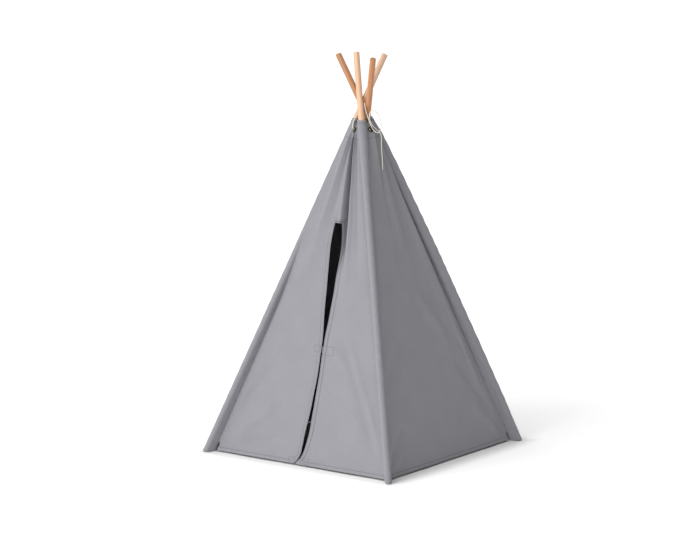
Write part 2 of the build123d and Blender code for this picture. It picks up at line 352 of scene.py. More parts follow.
def relief(panel, share, z):
    """How far the cloth stands out from the CAD panel's flat surface."""
    start, end = section(panel, z)
    width = np.linalg.norm(end - start, axis=-1)
    across = (share - 0.5) * width
    height = waves(panel, across, z)
    for fold in GATHERS[panel]:
        height = height + gather(share, z, *fold)
    for fold in CREASES[panel]:
        height = height + crease(across, z, *fold)
    edge = np.minimum(share, 1 - share) * width
    pucker = PUCKER * np.sin(2 * math.pi * z / PUCKER_PITCH + 9 * np.sin(17 * z))
    height = height + pucker * np.exp(-((edge / PUCKER_WIDTH) ** 2)) * smooth((z - 0.05) / 0.1)
    if panel == "door":
        away = (across / CALM_WIDTH) ** 2 + ((z - EYELET_LEVEL) / CALM_HEIGHT) ** 2
        height = height * (1 - CALM * np.exp(-away))
    return height * smooth(edge / np.minimum(0.03, 0.2 * width))


def hem_lift(panel, share, z):
    """Second layer of cloth along the bottom, the top and the door slit."""
    lift = smooth((BOTTOM[panel] + HEM - z) / HEM_EDGE)
    lift = np.maximum(lift, smooth((z - TOP[panel] + HEM) / HEM_EDGE))
    if panel == "door":
        start, end = section(panel, z)
        x = start[..., 0] + (end[..., 0] - start[..., 0]) * share
        for side in (-1, 1):
            beside = side * (x - slit_line(side, z))
            inside = (beside > -SLIT_PAST) & (z < SLIT_TOP + SLIT_HEM)
            lift = np.maximum(lift, np.where(inside, smooth((SLIT_HEM - beside) / HEM_EDGE), 0))
    return HEM_LIFT * lift


def matched(share, z):
    """Shares and heights as arrays of one shape."""
    return np.broadcast_arrays(np.asarray(share, float), np.asarray(z, float))


def cloth_point(panel, share, z):
    """Point on the middle of the canvas, for arrays of shares and heights."""
    share, z = matched(share, z)
    first, last = PANELS[panel]
    start, end = section(panel, z)
    along = end - start
    width = np.linalg.norm(along, axis=-1)
    point = start + along * share[..., None]
    point = point + OUT[panel] * (relief(panel, share, z) + hem_lift(panel, share, z))[..., None]
    along = along / width[..., None]
    for corner, beside, edge, sign in ((first, share, start, 1), (last, 1 - share, end, -1)):
        flush = smooth((z - FLUSH_FROM) / FLUSH_RISE) * ((panel, corner) in FLUSH_ENDS)
        turn = np.minimum(TURN_IN, 0.16 * width) + np.minimum(FLUSH_TURN, 0.25 * width) * flush
        near = np.clip(1 - beside * width / turn, 0, 1) ** 2
        sewn = smooth((z - FREE_CORNER) / FREE_RISE) if (panel, corner) in FREE_ENDS else np.ones_like(z)
        on_sleeve = pole_point(corner, z) + OUT[panel] * (POLE_RADIUS + SLEEVE_ROOM + SLEEVE_WALL)
        target = seam(corner, z) + (on_sleeve - seam(corner, z)) * flush[..., None]
        point = point + (near * sewn)[..., None] * (target - edge)
        point = point + (near * (1 - sewn) * sign * FREE_GAP)[..., None] * along
    return point


def cloth_normal(panel, share, z):
    share, z = matched(share, z)
    start, end = section(panel, z)
    step = DIFFERENCE / np.linalg.norm(end - start, axis=-1)
    across = cloth_point(panel, share + step, z) - cloth_point(panel, share - step, z)
    upwards = cloth_point(panel, share, z + DIFFERENCE) - cloth_point(panel, share, z - DIFFERENCE)
    return unit(np.cross(across, upwards))


# ---- mesh making ----
def add_object(name, data):
    piece = bpy.data.objects.new(name, data)
    bpy.context.scene.collection.objects.link(piece)
    return piece


def make_mesh(name, points, faces, material, normals=None, coords=None):
    """Object from points and faces, smooth shaded, with optional normals and UVs per point."""
    mesh = bpy.data.meshes.new(name)
    mesh.from_pydata([tuple(point) for point in points], [], faces)
    mesh.materials.append(material)
    mesh.polygons.foreach_set("use_smooth", [True] * len(mesh.polygons))
    if coords is not None:
        layer = mesh.uv_layers.new(name="UVMap")
        corner_points = np.empty(len(mesh.loops), int)
        mesh.loops.foreach_get("vertex_index", corner_points)
        layer.data.foreach_set("uv", np.asarray(coords)[corner_points].ravel())
    mesh.update()
    if normals is not None:
        mesh.normals_split_custom_set_from_vertices([tuple(normal) for normal in normals])
    return add_object(name, mesh)


def band(first, second, size):
    """Squares between two rings of points, given the number of each ring's first point."""
    following = [(step + 1) % size for step in range(size)]
    return [(first + a, first + b, second + b, second + a) for a, b in enumerate(following)]


def fan(tip, first, size):
    """Triangles between a tip and a ring of points."""
    return [(tip, first + step, first + (step + 1) % size) for step in range(size)]


def shell(name, middle, normals, thickness, coords, cells, material):
    """Closed sheet of cloth round a grid of points; cells says which squares exist."""
    rows, columns = middle.shape[:2]
    count = rows * columns
    index = np.arange(count).reshape(rows, columns)
    faces = []
    edges = {}
    for row, column in zip(*np.nonzero(cells)):
        a = int(index[row, column])
        b = a + 1
        c = b + columns
        d = a + columns
        faces.append((a, b, c, d))
        faces.append((d + count, c + count, b + count, a + count))
        for edge in ((a, b), (b, c), (c, d), (d, a)):
            if not edges.pop(edge[::-1], False):
                edges[edge] = True
    for a, b in edges:
        faces.append((b, a, a + count, b + count))
    used = np.zeros(2 * count, bool)
    for face in faces:
        used[list(face)] = True
    number = np.cumsum(used) - 1
    faces = [tuple(int(number[i]) for i in face) for face in faces]
    half = normals * (thickness / 2)
    points = np.concatenate([(middle + half).reshape(-1, 3), (middle - half).reshape(-1, 3)])
    both = np.concatenate([normals.reshape(-1, 3), -normals.reshape(-1, 3)])
    flat = np.concatenate([coords.reshape(-1, 2), coords.reshape(-1, 2)])
    return make_mesh(name, points[used], faces, material, both[used], flat[used])


def eyelet_rows(height):
    """Close rows round an eyelet's hole."""
    return list(np.arange(height - 0.009, height + 0.0091, 0.0012))


def heights_between(low, high, eyelet):
    """Rows for a panel: dense at the hems and round the eyelet."""
    hem_rows = [0.0, 0.0006, 0.002, 0.004, 0.006, 0.0075]
    hem_rows += [HEM - HEM_EDGE, HEM - HEM_EDGE / 2, HEM, HEM + HEM_EDGE, HEM + 0.0025, HEM + 0.005]
    rows = [low + row for row in hem_rows] + [high - row for row in hem_rows]
    first = low + HEM + 0.009
    last = high - HEM - 0.009
    rows += list(np.linspace(first, last, int((last - first) / 0.005)))
    rows += eyelet_rows(eyelet)
    if low < SLIT_TOP < high:
        rows += [SLIT_TOP, SLIT_TOP + SLIT_HEM - HEM_EDGE, SLIT_TOP + SLIT_HEM]
    rows = sorted(rows)
    closest = 0.00035
    kept = [rows[0]]
    for row in rows[1:]:
        if row - kept[-1] > closest or row in (SLIT_TOP, high):
            if row - kept[-1] <= closest:
                kept.pop()
            kept.append(row)
    return np.array(kept)


def flat_coords(panel, share, z):
    """Coordinates in the flat cloth, in metres, for the weave."""
    start, end = section(panel, z)
    width = np.linalg.norm(end - start, axis=-1)
    return np.stack([(share - 0.5) * width, z / abs(OUT[panel][:2]).max()], axis=-1)


def eyelet_place(panel):
    """Centre and outward normal of a panel's eyelet on the cloth, and its height."""
    low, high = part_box("eyelet_" + panel)
    centre = np.array((low + high) / 2)
    start, end = section(panel, np.array(centre[2]))
    along = end - start
    share = float((centre - start) @ along / (along @ along))
    return cloth_point(panel, share, centre[2]), cloth_normal(panel, share, centre[2]), centre[2]


EYELET = {panel: eyelet_place(panel) for panel in PANELS}
EYELET_CUT = 0.0056


def cells_outside_eyelet(panel, middle):
    """Squares of a grid that are not in the hole cut for the eyelet."""
    centre = EYELET[panel][0]
    corners = (middle[:-1, :-1] + middle[1:, 1:] + middle[1:, :-1] + middle[:-1, 1:]) / 4
    return np.linalg.norm(corners - centre, axis=-1) > EYELET_CUT


def panel_shell(name, panel, share, z, cells, material):
    middle = cloth_point(panel, share, z)
    normals = cloth_normal(panel, share, z)
    cells = cells & cells_outside_eyelet(panel, middle)
    return shell(name, middle, normals, CLOTH, flat_coords(panel, share, z), cells, material)


# ---- materials ----
def add_node(tree, kind, settings=None, **inputs):
    """New node; its inputs, by name or by number as i0, i1 and so on, are linked or set."""
    node = tree.nodes.new(kind)
    for key, value in (settings or {}).items():
        setattr(node, key, value)
    for key, value in inputs.items():
        socket = node.inputs[int(key[1:]) if key[1:].isdigit() else key]
        if isinstance(value, bpy.types.NodeSocket):
            tree.links.new(value, socket)
        else:
            socket.default_value = value
    return node


class Recipe:
    """A material in the making: its shader and short ways to add the nodes before it."""

    def __init__(self, name, roughness):
        self.material = bpy.data.materials.new(name)
        self.material.use_nodes = True
        self.tree = self.material.node_tree
        self.shader = self.tree.nodes["Principled BSDF"]
        self.set("Roughness", roughness)

    def set(self, name, value):
        """Sets or links one of the shader's inputs."""
        if isinstance(value, bpy.types.NodeSocket):
            self.tree.links.new(value, self.shader.inputs[name])
        else:
            self.shader.inputs[name].default_value = value

    def add(self, kind, settings=None, **inputs):
        return add_node(self.tree, kind, settings, **inputs)

    def place(self):
        return self.add("ShaderNodeTexCoord").outputs["Object"]

    def stretch(self, vector, scale):
        return self.add("ShaderNodeMapping", Vector=vector, Scale=scale).outputs["Vector"]

    def noise(self, vector, scale, detail, bend=0.0):
        node = self.add("ShaderNodeTexNoise", Vector=vector, Scale=scale, Detail=detail, Distortion=bend)
        return node.outputs["Fac"]

    def math(self, operation, first, second=0.0):
        return self.add("ShaderNodeMath", {"operation": operation}, i0=first, i1=second).outputs["Value"]

    def remap(self, value, from_low, from_high, to_low, to_high):
        node = self.add("ShaderNodeMapRange", Value=value, i1=from_low, i2=from_high, i3=to_low, i4=to_high)
        return node.outputs["Result"]

    def colour(self, factor, dark, light):
        """Colour between two, over the middle half of the factor's range."""
        ramp = self.add("ShaderNodeValToRGB", Fac=factor)
        for element, position, colour in zip(ramp.color_ramp.elements, (0.25, 0.75), (dark, light)):
            element.position = position
            element.color = (*colour, 1)
        return ramp.outputs["Color"]

    def bump(self, height, strength, distance):
        node = self.add("ShaderNodeBump", Height=height, Strength=strength, Distance=distance)
        self.set("Normal", node.outputs["Normal"])


def shaded(colour, factor):
    return [factor * part for part in colour]


def canvas_material(name, colour, thread=0.0007):
    """Plain-woven cotton canvas; the weave follows the cloth's flat coordinates."""
    recipe = Recipe(name, 0.92)
    flat = recipe.add("ShaderNodeUVMap").outputs["UV"]
    spread = recipe.stretch(flat, (1 / thread, 1 / thread, 1 / thread))
    threads = []
    for way in ("X", "Y"):
        wave = recipe.add("ShaderNodeTexWave", {"bands_direction": way}, Vector=spread, Scale=math.pi / 10)
        threads.append(wave.outputs["Fac"])
    weave = recipe.math("MULTIPLY", *threads)
    warp = recipe.noise(recipe.stretch(flat, (1500.0, 60.0, 1.0)), 1.0, 2.0)
    weft = recipe.noise(recipe.stretch(flat, (60.0, 1500.0, 1.0)), 1.0, 2.0)
    slubs = recipe.math("MULTIPLY", recipe.math("ADD", warp, weft), 0.3)
    mottle = recipe.math("MULTIPLY", recipe.noise(flat, 16.0, 4.0), 0.25)
    shade = recipe.math("ADD", recipe.math("ADD", slubs, mottle), recipe.math("MULTIPLY", weave, 0.15))
    recipe.set("Base Color", recipe.colour(shade, shaded(colour, 0.86), shaded(colour, 1.12)))
    recipe.bump(recipe.math("ADD", weave, slubs), 0.55, 0.00025)
    recipe.set("Sheen Weight", 0.12)
    recipe.set("Sheen Roughness", 0.5)
    recipe.set("Specular IOR Level", 0.25)
    return recipe.material


def wood_material(name, corner, dark, light, blush):
    """Sanded dowel; the grain runs along the pole."""
    recipe = Recipe(name, 0.52)
    centre, axis = POLE[corner]
    turn = Vector(axis).to_track_quat("Z", "Y").to_euler()
    local = recipe.add("ShaderNodeMapping", {"vector_type": "TEXTURE"}, Vector=recipe.place(),
                       Location=tuple(centre), Rotation=tuple(turn)).outputs["Vector"]
    grain = recipe.noise(recipe.stretch(local, (260.0, 260.0, 7.0)), 1.0, 5.0, 0.6)
    pores = recipe.noise(recipe.stretch(local, (1500.0, 1500.0, 30.0)), 1.0, 2.0)
    patches = recipe.noise(recipe.stretch(local, (60.0, 60.0, 9.0)), 1.0, 2.0)
    tint = recipe.remap(patches, 0.45, 0.7, 0.0, 0.6)
    body = recipe.colour(grain, dark, light)
    mixed = recipe.add("ShaderNodeMix", {"data_type": "RGBA"}, Factor=tint, i6=body, i7=(*blush, 1))
    recipe.set("Base Color", mixed.outputs[2])
    recipe.bump(recipe.math("ADD", grain, pores), 0.25, 0.0003)
    return recipe.material


def metal_material(name, colour):
    """Dark bronzed brass, a little worn."""
    recipe = Recipe(name, 0.34)
    wear = recipe.noise(recipe.place(), 420.0, 5.0)
    recipe.set("Base Color", recipe.colour(wear, colour, shaded(colour, 1.9)))
    recipe.set("Roughness", recipe.remap(wear, 0.3, 0.7, 0.24, 0.46))
    recipe.bump(wear, 0.15, 0.0002)
    recipe.set("Metallic", 0.9)
    return recipe.material


def yarn_material(name, colour, grain=3200.0):
    """Cotton thread or cord: matt, with short fibres."""
    recipe = Recipe(name, 0.88)
    fibre = recipe.noise(recipe.place(), grain, 3.0)
    recipe.set("Base Color", recipe.colour(fibre, shaded(colour, 0.8), colour))
    recipe.bump(fibre, 0.4, 0.0002)
    return recipe.material


def tape_material(name, colour, pile):
    """Hook or loop tape; pile is the spacing of its hooks or loops."""
    recipe = Recipe(name, 0.8)
    piles = recipe.add("ShaderNodeTexVoronoi", Vector=recipe.place(), Scale=1 / pile).outputs["Distance"]
    recipe.set("Base Color", recipe.colour(piles, shaded(colour, 0.55), colour))
    recipe.bump(piles, 0.8, 0.0004)
    return recipe.material


CANVAS = canvas_material("grey_canvas", (0.250, 0.250, 0.272))
THREAD_MATERIAL = yarn_material("grey_thread", (0.085, 0.085, 0.10))
CORD_MATERIAL = yarn_material("natural_cotton", (0.80, 0.76, 0.66))
BRONZE = metal_material("dark_bronze", (0.060, 0.042, 0.032))
HOOK_TAPE = tape_material("hook_tape", (0.26, 0.26, 0.28), 0.0014)
LOOP_TAPE = tape_material("loop_tape", (0.30, 0.30, 0.32), 0.0009)
PALE_WOOD = ((0.58, 0.35, 0.205), (0.78, 0.53, 0.355), (0.67, 0.38, 0.235))
WARM_WOOD = ((0.37, 0.14, 0.055), (0.58, 0.30, 0.14), (0.46, 0.18, 0.075))
MIXED_WOOD = ((0.38, 0.155, 0.065), (0.60, 0.33, 0.17), (0.36, 0.14, 0.062))
PINK_WOOD = ((0.46, 0.26, 0.15), (0.68, 0.48, 0.345), (0.56, 0.30, 0.185))
WOODS = {"near": PALE_WOOD, "right": MIXED_WOOD, "far": WARM_WOOD, "left": PINK_WOOD}


def place(piece, slot, body="canopy", blend=None, replaces=()):
    """Parents a piece to its body, or bakes its transform when it has a blend, and hides the CAD nodes that it
    stands for; slot is not used.
    """
    if blend is None:
        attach(piece, body)
    else:
        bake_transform(piece)
    if replaces:
        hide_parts(*replaces)
    return piece


# ---- fold lines of the door flaps ----
BLEND_FROM = 0.008          # start of the stretch given for a flap's fold, this far inside the fold line
BLEND_TO = 0.042


def fold_blend(side):
    """The two bodies of a flap's fold and a stretch just inside its fold line."""
    name = "left" if side < 0 else "right"
    joint = next(joint for joint in frame["joints"] if joint["name"] == name + "_flap_fold")
    foot = np.array(joint["pos_m"])
    inwards = unit(np.cross(joint["axis"], OUT["door"]))
    if inwards[0] * side > 0:
        inwards = -inwards
    start = foot + inwards * BLEND_FROM
    end = foot + inwards * BLEND_TO
    return "canopy", name + "_flap", tuple(start), tuple(end)


FOLD = {side: fold_blend(side) for side in (-1, 1)}


# ---- stitches ----
def reach_along(points):
    """Distance along a line of points, at each point."""
    return np.concatenate([[0], np.cumsum(np.linalg.norm(np.diff(points, axis=0), axis=1))])


def values_at(places, reach, values):
    return np.stack([np.interp(places, reach, values[:, i]) for i in range(3)], axis=1)


def sew(name, points, normals, pitch=STITCH_PITCH, length=STITCH_LENGTH, **where):
    """Row of thread stitches along a line of points on the cloth."""
    reach = reach_along(points)
    places = np.arange(pitch / 2, reach[-1] - pitch / 2, pitch)
    middle = values_at(places, reach, points)
    along = unit(values_at(places + DIFFERENCE, reach, points) - middle)
    out = unit(values_at(places, reach, normals))
    aside = unit(np.cross(out, along))
    verts = []
    faces = []
    for centre, forward, up, right in zip(middle, along, out, aside):
        first = len(verts)
        verts.append(centre - forward * (length / 2))
        for share in (-0.25, 0.25):
            for step in range(6):
                angle = step * math.pi / 3
                ring = right * (math.cos(angle) * THREAD) + up * (math.sin(angle) * THREAD * 0.8)
                verts.append(centre + forward * (length * share) + ring)
        verts.append(centre + forward * (length / 2))
        faces += [face[::-1] for face in fan(first, first + 1, 6)]
        faces += band(first + 1, first + 7, 6)
        faces += fan(first + 13, first + 7, 6)
    place(make_mesh(name, verts, faces, THREAD_MATERIAL), "canvas", **where)


def panel_line(panel, share, z):
    """Points just on the cloth's outer face and the normals there."""
    share, z = matched(share, z)
    normals = cloth_normal(panel, share, z)
    return cloth_point(panel, share, z) + normals * (CLOTH / 2), normals


# ---- cover panels ----
def all_cells(rows, columns):
    """Every square of a grid with these numbers of points."""
    return np.ones((rows - 1, columns - 1), bool)


def make_side_panel(panel):
    z = heights_between(BOTTOM[panel] - HEM_DROP[panel], TOP[panel], EYELET[panel][2])
    ends = np.array([0, 0.0025, 0.006, 0.010, 0.015, 0.021])
    share = np.concatenate([ends, np.linspace(0.03, 0.97, 86), 1 - ends[::-1]])
    share, z = matched(share, z[:, None])
    cells = all_cells(*share.shape)
    cover = panel_shell("cover_cloth_" + panel, panel, share, z, cells, CANVAS)
    place(cover, "canvas", replaces=["cover_" + panel])


def door_columns(side, z):
    """X of the columns of one half of the door: from the corner seam to the slit."""
    start, end = section("door", z)
    seam_x = (start if side < 0 else end)[..., 0]
    slit_x = slit_line(side, z)
    width = abs(slit_x - seam_x)
    edge = np.array([0.0, 0.0007, 0.002, 0.0045, 0.007, 0.0095, 0.0102, 0.0107, 0.0112, 0.012, 0.0145])
    edge = edge[None, :] * np.minimum(1, 0.3 * width / edge[-1])[:, None]
    main_share = np.concatenate([[0, 0.005, 0.012, 0.02, 0.03], np.linspace(0.045, 1, 44)])
    reach = width[:, None] - edge[:, -1:]
    main = reach * main_share[None, :]
    near_slit = width[:, None] - edge[:, -2::-1]
    distance = np.concatenate([main, near_slit], axis=1)
    return seam_x[:, None] - side * distance


def make_door():
    """Both halves of the door panel, joined above the slit, each with its flap."""
    z = heights_between(BOTTOM["door"], TOP["door"], EYELET["door"][2])
    for side, name in SIDES:
        x = door_columns(side, z)
        rows = np.broadcast_to(z[:, None], x.shape)
        cells = all_cells(*x.shape)
        if side < 0:
            over = np.linspace(0, 1, 9)[1:]
            bridge = x[:, -1:] + (slit_line(1, z)[:, None] - x[:, -1:]) * over
            x = np.concatenate([x, bridge], axis=1)
            rows = np.broadcast_to(z[:, None], x.shape)
            above = (z[:-1] >= SLIT_TOP - 1e-6)[:, None]
            cells = np.concatenate([cells, np.repeat(above, len(over), axis=1)], axis=1)
        else:
            x = x[:, ::-1]
        share = door_share(x, rows)
        half = panel_shell("door_cloth_" + name, "door", share, rows, cells, CANVAS)
        replaced = ["door_flap_" + name, "slit_binding_" + name] + (["cover_door"] if side < 0 else [])
        place(half, "canvas", blend=FOLD[side], replaces=replaced)


def make_panel_stitches():
    """Thread along the bottom hems, the top hems and the lower edge of the facings."""
    for panel in PANELS:
        share = np.linspace(0.006, 0.994, 400)
        levels = {
            "top_stitch": TOP[panel] - HEM + HEM_STITCH,
            "facing_stitch": TOP[panel] - FACING_DEPTH + 0.003,
        }
        for kind, level in levels.items():
            sew(f"{kind}_{panel}", *panel_line(panel, share, level))
        level = BOTTOM[panel] + HEM - HEM_STITCH
        if panel != "door":
            sew("hem_stitch_" + panel, *panel_line(panel, share, level))
            continue
        for side, name in SIDES:
            edge = slit_line(side, np.array(level)) + side * 0.004
            slit_share = float(door_share(edge, np.array(level)))
            half_share = np.linspace(0.006 if side < 0 else 0.994, slit_share, 300)
            sew("hem_stitch_door_" + name, *panel_line(panel, half_share, level), blend=FOLD[side])


def make_slit_stitches():
    """Thread along both hems of the slit, and the bar tack across its top."""
    z = np.linspace(BOTTOM["door"] + HEM, SLIT_TOP + 0.006, 500)
    for side, name in SIDES:
        for kind, inset in (("edge", 0.0022), ("hem", SLIT_HEM - 0.0018)):
            x = slit_line(side, z) + side * inset
            sew(f"slit_{kind}_stitch_{name}", *panel_line("door", door_share(x, z), z), blend=FOLD[side])
    for number, height in enumerate((0.0028, 0.0046, SLIT_HEM - HEM_STITCH)):
        wider = 0.002 if number < 2 else 0.0085
        x = np.linspace(SLIT_TOP_LEFT - wider, SLIT_TOP_RIGHT + wider, 60)
        level = np.full_like(x, SLIT_TOP + height)
        sew(f"slit_bar_tack_{number + 1}", *panel_line("door", door_share(x, level), level),
            pitch=TACK_PITCH if number < 2 else STITCH_PITCH, length=TACK_LENGTH)


def make_facings():
    """Second layer inside the top edge of each panel, which carries the eyelet."""
    for panel in PANELS:
        low = TOP[panel] - FACING_DEPTH
        high = TOP[panel] - 0.001
        rows = np.unique(np.round([*np.linspace(low, high, 12), *eyelet_rows(EYELET[panel][2])], 5))
        share, z = matched(np.linspace(0.03, 0.97, 60), rows[:, None])
        normals = cloth_normal(panel, share, z)
        middle = cloth_point(panel, share, z) - normals * FACING_IN
        cells = cells_outside_eyelet(panel, middle)
        coords = flat_coords(panel, share, z)
        facing = shell("facing_" + panel, middle, normals, FACING, coords, cells, CANVAS)
        place(facing, "canvas", replaces=["top_facing_" + panel])


# ---- sleeves ----
def drop_outline(radius, reach, tip, arc=34, side=3, end=7):
    """Outline round a pole and back to its seam: x outwards, y sideways."""
    reach = max(reach, radius - tip + 1e-5)
    turn = math.acos((radius - tip) / reach)
    outline = []
    for angle in np.linspace(-(math.pi - turn), math.pi - turn, arc):
        outline.append((radius * math.cos(angle), radius * math.sin(angle)))
    tip_angles = np.linspace(math.pi - turn, math.pi + turn, end)
    tip_points = [(-reach + tip * math.cos(angle), tip * math.sin(angle)) for angle in tip_angles]
    flanks = [
        [tuple(point) for point in np.linspace(start, end, side + 2)[1:-1]]
        for start, end in ((outline[-1], tip_points[0]), (tip_points[-1], outline[0]))
    ]
    return np.array(outline + flanks[0] + tip_points + flanks[1])


SLEEVE_SPREAD = {"near": 0.22, "right": 0.10, "far": 0.08, "left": 0.12}    # wider at the top
SPREAD_FROM = 0.66
SLEEVE_WRINKLE = 0.00020
SEAM_WRINKLE = 0.00025
TOE = 0.006                 # height of a sleeve's rounded toe
TOE_WIDTH = 0.62            # its share of the sleeve's width at the floor
TOE_MIDDLE = -0.004         # and its middle, from the pole's axis outwards
TOP_HEM = 0.0078            # hem round the top of a sleeve
TOP_HEM_LIFT = 0.0003

# How far the outer side of a sleeve stands off its pole: heights and distances.
SLEEVE_SLACK = {
    "near": ((0.0, 0.0), (0.838, 0.0)),
    "right": ((0.0, 0.0), (0.06, 0.002), (0.11, 0.0045), (0.25, 0.0075), (0.5, 0.0115), (0.7, 0.0105),
              (0.79, 0.0085), (0.825, 0.004), (0.838, 0.0015)),
    "far": ((0.0, 0.0), (0.4, 0.002), (0.795, 0.0)),
    "left": ((0.0, 0.0), (0.3, -0.0002), (0.838, 0.0)),
}


def sleeve_ring(corner, z, inset):
    """One level outline of a sleeve, in the frame."""
    top = float(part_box("pole_pocket_" + corner)[1].z)
    out = outward(corner)
    aside = np.array([-out[1], out[0], 0.0])
    stretch = 1 / POLE[corner][1][2]
    radius = POLE_RADIUS + SLEEVE_ROOM + SLEEVE_WALL - inset
    outline = drop_outline(radius, float(seam_reach(np.array(z))), max(SEAM_HALF - inset, 0.0002))
    angle = np.arctan2(outline[:, 1], outline[:, 0])
    outline[:, 1] *= 1 + SLEEVE_SPREAD[corner] * float(smooth((z - SPREAD_FROM) / (top - SPREAD_FROM)))
    loose = float(np.interp(z, *zip(*SLEEVE_SLACK[corner])))
    outer_side = np.clip(outline[:, 0], 0, None) / radius
    wrinkle = SLEEVE_WRINKLE * np.sin(2 * math.pi * z / 0.031 + 2.2 * angle + 4 * math.sin(13 * z))
    wrinkle += SEAM_WRINKLE * np.sin(2 * math.pi * z / PUCKER_PITCH + 3 * angle) * (outline[:, 0] < 0)
    room = smooth(np.array(z / 0.03)) * smooth(np.array((top - z) / 0.02))
    outline[:, 0] = outline[:, 0] * np.where(outline[:, 0] > 0, stretch, 1) + loose * outer_side
    outline = outline * (1 + (wrinkle * float(room) / radius)[:, None])
    toe = TOE_WIDTH + (1 - TOE_WIDTH) * math.sqrt(1 - (1 - min(z, TOE) / TOE) ** 2)
    outline[:, 0] = TOE_MIDDLE + (outline[:, 0] - TOE_MIDDLE) * toe
    outline[:, 1] *= toe
    return pole_point(corner, z) + outline[:, :1] * out + outline[:, 1:] * aside


def make_sleeve(corner):
    """Closed-bottomed cloth sleeve round a pole, open at the top, with a real wall."""
    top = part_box("pole_pocket_" + corner)[1].z
    lower = [0.0002, 0.0006, 0.0014, 0.0026, 0.0042, 0.006, 0.009]
    upper = [top - 0.010, top - 0.0085, top - TOP_HEM, top - 0.007, top - 0.003, top - 0.0008, top]
    levels = lower + list(np.linspace(0.0135, top - 0.0135, int(top / 0.0045))) + upper
    rings = [sleeve_ring(corner, z, 0.0 if z < top - TOP_HEM else -TOP_HEM_LIFT) for z in levels]
    inner_levels = [top, top - 0.0008] + list(np.linspace(top - 0.01, 0.012, 60)) + [0.006, 0.003]
    rings += [sleeve_ring(corner, z, SLEEVE_WALL) for z in inner_levels]
    size = len(rings[0])
    last = (len(rings) - 1) * size
    points = [point for ring in rings for point in ring] + [rings[0].mean(axis=0), rings[-1].mean(axis=0)]
    round_the_pole = np.linspace(0, 1, size, endpoint=False) * 0.085
    coords = [(round_the_pole[i], ring[i][2] * 1.1) for ring in rings for i in range(size)]
    coords += [(0.04, 0.0), (0.04, 0.0)]
    faces = []
    for first in range(0, last, size):
        faces += band(first, first + size, size)
    faces += [face[::-1] for face in fan(last + size, 0, size)]
    faces += fan(last + size + 1, last, size)
    sleeve = make_mesh("sleeve_" + corner, points, faces, CANVAS, coords=coords)
    place(sleeve, "canvas", replaces=["pole_pocket_" + corner])
    make_sleeve_stitches(corner, top)


def make_sleeve_stitches(corner, top):
    """Thread along the corner seam, on both sides, and round the top hem."""
    out = outward(corner)
    aside = np.array([-out[1], out[0], 0.0])
    z = np.linspace(0.012, top - 0.004, 700)
    inset = 0.0022
    for name, side in (("a", 1), ("b", -1)):
        inner = pole_point(corner, z) - out * (seam_reach(z) - inset)[:, None]
        half = SEAM_HALF + inset * (POLE_RADIUS / seam_reach(z))
        points = inner + aside * (side * half)[:, None]
        reach = seam_reach(z) > POLE_RADIUS + 0.004
        normals = np.broadcast_to(aside * side, points.shape)
        sew(f"seam_stitch_{corner}_{name}", points[reach], normals[reach])
    ring = sleeve_ring(corner, top - 0.0072, -TOP_HEM_LIFT)
    ring = np.concatenate([ring, ring[:1]])
    normals = unit(ring - pole_point(corner, top - 0.0072))
    sew("sleeve_top_stitch_" + corner, ring, normals)


# ---- eyelets ----
EYELET_HOLE = 0.0040
EYELET_RING = 0.0080
EYELET_DOME = 0.0012
WASHER_DOME = 0.0008
BARREL = 0.0006             # wall of the eyelet's barrel
# Rolled end of the barrel: distances out from the hole and back from the facing.
BARREL_ROLL = ((0.0, 0.0010), (BARREL, 0.0013), (0.0011, 0.0008), (BARREL, 0.0))


def lathe(profile, centre, axis, steps=48):
    """Points and faces of a closed profile of (radius, height) turned round an axis."""
    side = unit(np.cross(axis, np.array([0.0, 0.0, 1.0])))
    other = np.cross(axis, side)
    points = []
    faces = []
    size = len(profile)
    for step in range(steps):
        angle = 2 * math.pi * step / steps
        direction = side * math.cos(angle) + other * math.sin(angle)
        points += [centre + direction * radius + axis * height for radius, height in profile]
        faces += band(step * size, (step + 1) % steps * size, size)
    return points, faces


def rolled_ring(inner, outer, low, high):
    """Profile of a domed ring with a rolled rim."""
    middle = (inner + outer) / 2
    half = (outer - inner) / 2
    profile = []
    for step in range(13):
        angle = math.pi * step / 12
        profile.append((middle + half * math.cos(angle), low + (high - low) * math.sin(angle) ** 0.7))
    return profile


def make_eyelets():
    """A rolled eyelet and its washer in each panel's top edge."""
    front = CLOTH / 2
    back = -(FACING_IN + FACING / 2)
    for panel in PANELS:
        centre, normal, _ = EYELET[panel]
        profile = rolled_ring(EYELET_HOLE, EYELET_RING, front, front + EYELET_DOME)
        profile += [(EYELET_HOLE + out, back - past) for out, past in BARREL_ROLL]
        profile.append((EYELET_HOLE + BARREL, front))
        ring = make_mesh("eyelet_ring_" + panel, *lathe(profile, centre, normal), BRONZE)
        place(ring, "eyelet_metal", replaces=["eyelet_" + panel])
        profile = rolled_ring(EYELET_HOLE + 2 * BARREL, EYELET_RING - 0.0005, back, back - WASHER_DOME)
        washer = make_mesh("eyelet_back_" + panel, *lathe(profile[::-1], centre, normal), BRONZE)
        place(washer, "eyelet_metal", replaces=["eyelet_washer_" + panel])


# ---- closures ----
PATCH_CORNER = 0.0025
PATCH_INSET = 0.0015        # the patches are this much lower than the CAD boxes round them
TAPE = 0.0008
TAB = 0.0010
# From the middle of the door's cloth in to each layer.
LOOP_DEPTH = CLOTH / 2 + 0.0009
HOOK_DEPTH = CLOTH / 2 + 0.0020
TAB_DEPTH = CLOTH / 2 + 0.0029

# Stitched boxes on the door's outer face: flap, stretch across and stretch of heights.
BOXES = {
    "middle_box_left": ("left_flap", (-0.017, 0.0005), (0.275, 0.291)),
    "middle_box_right": ("right_flap", (0.011, 0.044), (0.271, 0.291)),
    "lower_box_left": ("left_flap", (-0.037, -0.018), (0.007, 0.0195)),
    "lower_box_right": ("right_flap", (-0.003, 0.024), (0.007, 0.0195)),
}


